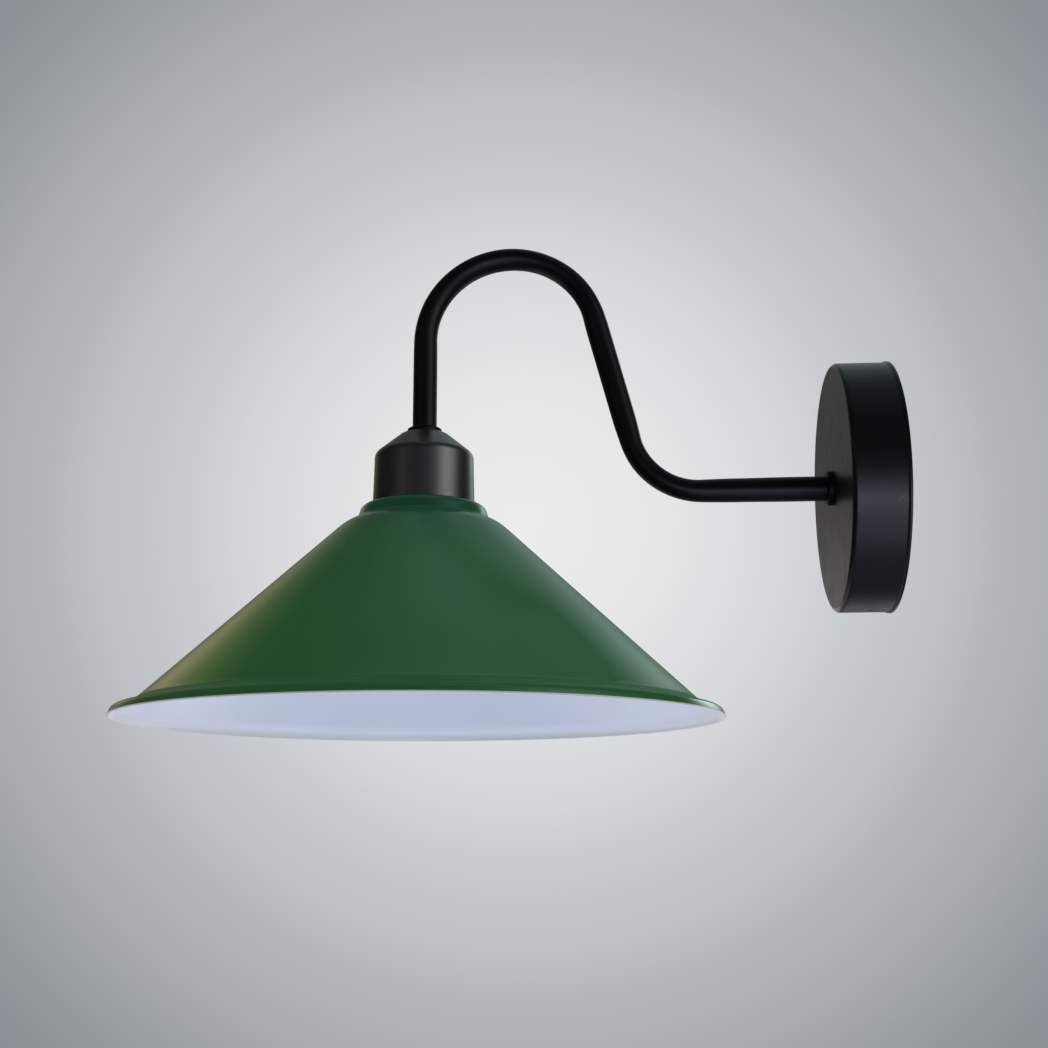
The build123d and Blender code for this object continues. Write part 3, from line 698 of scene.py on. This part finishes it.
# what glossy surfaces mirror: a dim room with soft round lamps, each (azimuth from +Y towards +X, elevation,
# sharpness, colour)
ROOM = (0.050, 0.050, 0.052)
LAMPS = [
    (178, -22, 80, (6.53, 6.72, 7.06)),
    (125, -3, 24, (4.22, 3.45, 3.50)),
    (30, 20, 80, (1.84, 2.24, 2.08)),
    (166, -23, 24, (1.77, 1.73, 2.53)),
    (118, 23, 24, (1.18, 1.68, 1.58)),
    (173, -55, 24, (1.35, 1.40, 1.64)),
    (153, -41, 24, (1.09, 1.38, 1.87)),
    (-9, 0, 80, (1.30, 1.18, 1.24)),
    (-13, 29, 80, (0.30, 0.30, 0.27)),
    (28, -21, 24, (1.08, 1.16, 1.22)),
    (105, 7, 24, (1.24, 1.03, 1.10)),
    (-69, -43, 24, (1.05, 0.96, 0.85)),
    (-37, -35, 24, (0.62, 0.73, 0.87)),
    (-35, 22, 80, (0.77, 0.64, 0.33)),
    (-167, -82, 24, (0.46, 0.32, 0.72)),
    (13, 31, 24, (0.24, 0.36, 0.32)),
    (5, 71, 24, (0.20, 0.41, 0.35)),
    (-137, 15, 24, (0.32, 0.29, 0.30)),
    (-25, -18, 24, (0.30, 0.23, 0.20)),
    (56, -76, 24, (0.26, 0.25, 0.21)),
    (25, 51, 24, (0.17, 0.20, 0.19)),
    (143, 68, 24, (0.13, 0.21, 0.22)),
    (-7, 43, 24, (0.17, 0.14, 0.23)),
    (-45, 36, 80, (0.21, 0.27, 0.04)),
    (16, -39, 24, (0.18, 0.15, 0.17)),
    (90, 82, 24, (0.18, 0.00, 0.12)),
    (-80, 65, 24, (0.11, 0.10, 0.00)),
]


def w_sum(terms):
    """Sum of (scalar socket or 1, colour) as one colour socket."""
    total = None
    for k, color in terms:
        m = wn.new("ShaderNodeVectorMath")
        if k is None:
            m.operation = "SCALE"
            m.inputs[0].default_value = color
            m.inputs["Scale"].default_value = 1.0
            total = m.outputs[0]
            continue
        m.operation = "MULTIPLY_ADD"
        c = wn.new("ShaderNodeCombineXYZ")
        for i in range(3):
            wl.new(k, c.inputs[i])
        wl.new(c.outputs[0], m.inputs[0])
        m.inputs[1].default_value = color
        wl.new(total, m.inputs[2])
        total = m.outputs[0]
    return total


dx, dy, dz = w_dot((1, 0, 0)), w_dot((0, 1, 0)), w_dot((0, 0, 1))
terms = [
    None, dx, dy, dz, w_math("MULTIPLY", dx, dy), w_math("MULTIPLY", dx, dz), w_math("MULTIPLY", dy, dz),
    w_math("SUBTRACT", w_math("MULTIPLY", dx, dx), w_math("MULTIPLY", dy, dy)),
    w_math("SUBTRACT", w_math("MULTIPLY", w_math("MULTIPLY", dz, dz), 3.0), 1.0),
]
soft_sum = w_sum(list(zip(terms, SOFT)))
floor_level = wn.new("ShaderNodeVectorMath")
floor_level.operation = "MAXIMUM"
wl.new(soft_sum, floor_level.inputs[0])
floor_level.inputs[1].default_value = (0.05, 0.05, 0.05)
soft = floor_level.outputs[0]

lamps = [(None, ROOM)]
for az, el, sharp, color in LAMPS:
    a, e = math.radians(az), math.radians(el)
    d = w_dot((math.sin(a) * math.cos(e), math.cos(a) * math.cos(e), math.sin(e)))
    lamps.append((w_math("EXPONENT", w_math("MULTIPLY", w_math("SUBTRACT", d, 1.0), sharp)), color))
room = w_sum(lamps)

path = wn.new("ShaderNodeLightPath")
m1 = wn.new("ShaderNodeMixShader")
wl.new(path.outputs["Is Glossy Ray"], m1.inputs[0])
wl.new(w_light(soft), m1.inputs[1])
wl.new(w_light(room), m1.inputs[2])
m2 = wn.new("ShaderNodeMixShader")
wl.new(path.outputs["Is Camera Ray"], m2.inputs[0])
wl.new(m1.outputs[0], m2.inputs[1])
wl.new(w_light(back.outputs["Color"]), m2.inputs[2])
wl.new(m2.outputs[0], w_out.inputs["Surface"])
world.cycles.sampling_method = "NONE"

# plain pale floor, well below the light, that fades out before its edge
FLOOR_Z = -0.75
n = 96
fv = [(0.0, 0.0, 0.0)]
ff = []
radii = [0.4, 0.8, 1.2, 1.6, 1.9]
for r in radii:
    for k in range(n):
        a = 2 * math.pi * k / n
        fv.append((r * math.cos(a), r * math.sin(a), 0.0))
for k in range(n):
    ff.append((0, 1 + k, 1 + (k + 1) % n))
for i in range(len(radii) - 1):
    for k in range(n):
        m = (k + 1) % n
        a0 = 1 + i * n
        ff.append((a0 + k, a0 + n + k, a0 + n + m, a0 + m))
fm = bpy.data.meshes.new("floor")
fm.from_pydata(fv, [], ff)
fm.update()
floor_mat = bpy.data.materials.new("floor_pale")
floor_mat.use_nodes = True
ft, fl = floor_mat.node_tree.nodes, floor_mat.node_tree.links
fb = ft["Principled BSDF"]
fb.inputs["Base Color"].default_value = (0.66, 0.67, 0.69, 1)
fb.inputs["Roughness"].default_value = 0.85
tc = ft.new("ShaderNodeTexCoord")
ln = ft.new("ShaderNodeVectorMath"); ln.operation = "LENGTH"
fl.new(tc.outputs["Object"], ln.inputs[0])
mr = ft.new("ShaderNodeMapRange")
mr.interpolation_type = "SMOOTHSTEP"
mr.inputs["From Min"].default_value = 0.9
mr.inputs["From Max"].default_value = 1.85
mr.inputs["To Min"].default_value = 1.0
mr.inputs["To Max"].default_value = 0.0
fl.new(ln.outputs["Value"], mr.inputs["Value"])
fl.new(mr.outputs["Result"], fb.inputs["Alpha"])
fm.materials.append(floor_mat)
floor = bpy.data.objects.new("floor", fm)
floor.location = (-0.19, 0.0, FLOOR_Z)
bpy.context.collection.objects.link(floor)
floor.visible_diffuse = False
floor.visible_glossy = False

scene.view_settings.view_transform = "Standard"
scene.view_settings.look = "None"
scene.view_settings.exposure = 0.0
scene.view_settings.gamma = 1.0
